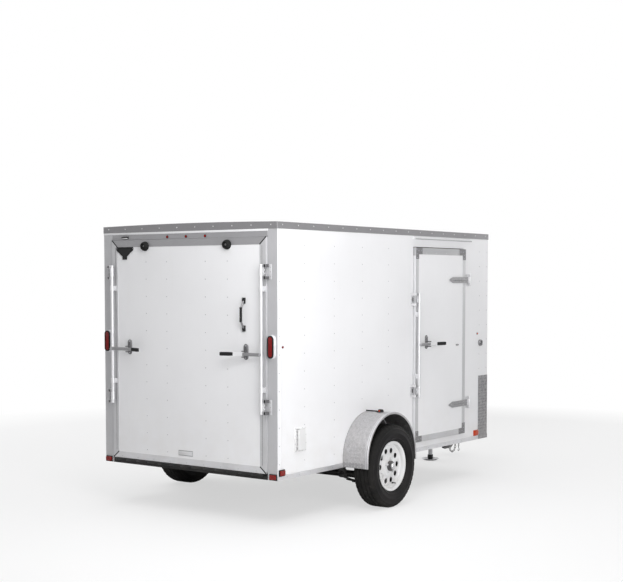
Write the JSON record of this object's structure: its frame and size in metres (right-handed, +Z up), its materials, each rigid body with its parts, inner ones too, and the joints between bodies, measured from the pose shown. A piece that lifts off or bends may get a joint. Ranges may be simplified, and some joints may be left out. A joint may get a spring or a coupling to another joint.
{
  "type": "enclosed cargo trailer",
  "caption": "White box trailer on one axle with a fold-down rear ramp, a side door, tread-plate fenders and a tongue jack.",
  "frame": {"origin": "on the ground, below the middle of the trailer's overall box", "axes": "+X forward towards the coupler, +Y to the left side, +Z up"},
  "size_m": [4.6066, 2.373, 2.3248],
  "materials": {
    "aluminium_frame": "satin extrusion",
    "amber_lens": "moulded amber lens",
    "black_plastic": "moulded black",
    "black_steel": "semi-gloss black paint",
    "bright_bezel": "bright backing",
    "bright_trim": "bright extrusion with rivets",
    "galvanised": "satin grey",
    "grey_casting": "cast corner",
    "grey_trim": "satin extrusion",
    "hub_metal": "plated hub",
    "plywood": "bare exterior plywood",
    "red_lens": "moulded red lens",
    "roof_skin": "mill finish sheet",
    "rubber": "moulded rubber",
    "tread_plate": "bright tread plate",
    "tyre": "road tyre",
    "white_panel": "gloss white aluminium skin",
    "white_plastic": "moulded white",
    "white_rim": "gloss white paint",
    "white_trim": "white extrusion",
    "zinc": "bright zinc plate"
  },
  "bodies": {
    "trailer": {"amber_markers": "amber_lens", "axle_beam": "black_steel", "coupler": "black_steel", "crossmembers": "black_steel", "door_holdback": "zinc", "drip_cap": "white_trim", "fender_lamps": "amber_lens", "fender_left": "tread_plate", "fender_right": "tread_plate", "floor_deck": "plywood", "foot_trim": "bright_trim", "jack_body": "black_steel", "leaf_springs": "black_steel", "lock_keepers": "zinc", "plate_lamp": "black_plastic", "rear_header": "galvanised", "rear_posts": "galvanised", "rear_sill": "black_steel", "red_markers": "red_lens", "roof_panel": "roof_skin", "roof_trim": "grey_trim", "safety_chains": "zinc", "side_hinge_butts": "zinc", "side_rails": "black_steel", "side_vents": "white_plastic", "spring_hangers": "black_steel", "stone_guard": "tread_plate", "tail_lamp_bezels": "bright_bezel", "tail_lamps": "red_lens", "tongue_plates": "black_steel", "tongue_rails": "black_steel", "wall_front": "white_panel", "wall_left": "white_panel", "wall_right": "white_panel"},
    "ramp": {"plate_bracket": "black_plastic", "ramp_bumpers": "rubber", "ramp_frame": "aluminium_frame", "ramp_grips": "black_plastic", "ramp_hinge": "black_steel", "ramp_locks": "zinc", "ramp_panel": "white_panel", "ramp_pull": "black_plastic"},
    "side_door": {"side_door_corners": "grey_casting", "side_door_frame": "aluminium_frame", "side_door_grip": "black_plastic", "side_door_lock": "zinc", "side_door_panel": "white_panel", "side_hinge_straps": "zinc"},
    "wheel_right": {"hub_right": "hub_metal", "rim_right": "white_rim", "tyre_right": "tyre"},
    "wheel_left": {"hub_left": "hub_metal", "rim_left": "white_rim", "tyre_left": "tyre"},
    "jack_leg": {"jack_leg": "zinc"}
  },
  "joints": [
    {"name": "ramp_hinge_joint", "type": "hinge", "parent": "trailer", "child": "ramp", "pos_m": [-2.2067, 0, 0.388], "axis": [0, -1, 0], "range_deg": [0, 101.2]},
    {"name": "side_door_hinge", "type": "hinge", "parent": "trailer", "child": "side_door", "pos_m": [0.7073, -0.9445, 1.3025], "axis": [0, 0, 1], "range_deg": [0, 170]},
    {"name": "wheel_right_spin", "type": "hinge", "parent": "trailer", "child": "wheel_right", "pos_m": [-0.9647, -1.084, 0.344], "axis": [0, 1, 0], "continuous": true},
    {"name": "wheel_left_spin", "type": "hinge", "parent": "trailer", "child": "wheel_left", "pos_m": [-0.9647, 1.084, 0.344], "axis": [0, 1, 0], "continuous": true},
    {"name": "jack_slide", "type": "slide", "parent": "trailer", "child": "jack_leg", "axis": [0, 0, 1], "range_m": [-0.1, 0.2]}
  ]
}
